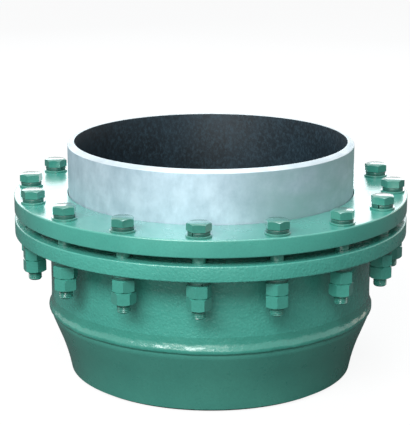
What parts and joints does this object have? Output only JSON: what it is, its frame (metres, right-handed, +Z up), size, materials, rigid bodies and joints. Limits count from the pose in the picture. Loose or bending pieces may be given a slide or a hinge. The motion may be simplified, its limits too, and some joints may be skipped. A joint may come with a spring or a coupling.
{
  "type": "rotary expansion joint",
  "caption": "Rotary pipe expansion joint: a steel pipe turns in a green flanged seat with a bolted packing gland, a ball race and a welded reducer below.",
  "frame": {"origin": "centre of the reducer's lower end, on which the joint stands", "axes": "+Z up along the axis of rotation, towards the turning pipe's welding end; a gland bolt lies on -Y"},
  "size_m": [0.586, 0.586, 0.35],
  "materials": {
    "green_enamel": "glossy blue-green enamel sprayed over steel and cast surfaces after assembly",
    "bright_steel": "turned and bright-plated outside, dark oxide scale inside",
    "machined_steel": "machined, oiled",
    "graphite": "matt pressed graphite",
    "bronze": "machined",
    "bearing_steel": "ground"
  },
  "bodies": {
    "seat": {"seat_body": "green_enamel", "weld_seam": "green_enamel", "reducer": "green_enamel", "support_ring": "machined_steel", "end_seal_ring": "graphite", "gland_flange": "green_enamel", "centring_bush": "bronze", "packing_base_ring": "machined_steel", "packing_ring_1": "graphite", "packing_ring_2": "graphite", "packing_ring_3": "graphite", "packing_ring_4": "graphite", "packing_ring_5": "graphite", "gland_bolts": "green_enamel", "upper_washers": "green_enamel", "upper_spring_washers": "green_enamel", "lower_washers": "green_enamel", "lower_spring_washers": "green_enamel", "gland_nuts": "green_enamel", "lock_nuts": "green_enamel"},
    "turning_pipe": {"rotating_pipe": "bright_steel", "thrust_collar": "machined_steel", "collar_weld": "machined_steel"},
    "ball_ring": {"thrust_balls": "bearing_steel", "ball_cage": "bronze"}
  },
  "joints": [
    {"name": "pipe_turn", "type": "hinge", "parent": "seat", "child": "turning_pipe", "pos_m": [0, 0, 0], "axis": [0, 0, 1], "continuous": true},
    {"name": "ball_ring_turn", "type": "hinge", "parent": "seat", "child": "ball_ring", "pos_m": [0, 0, 0], "axis": [0, 0, 1], "continuous": true}
  ],
  "couplings": [
    {"joint": "ball_ring_turn", "follows": "pipe_turn", "ratio": 0.5}
  ]
}
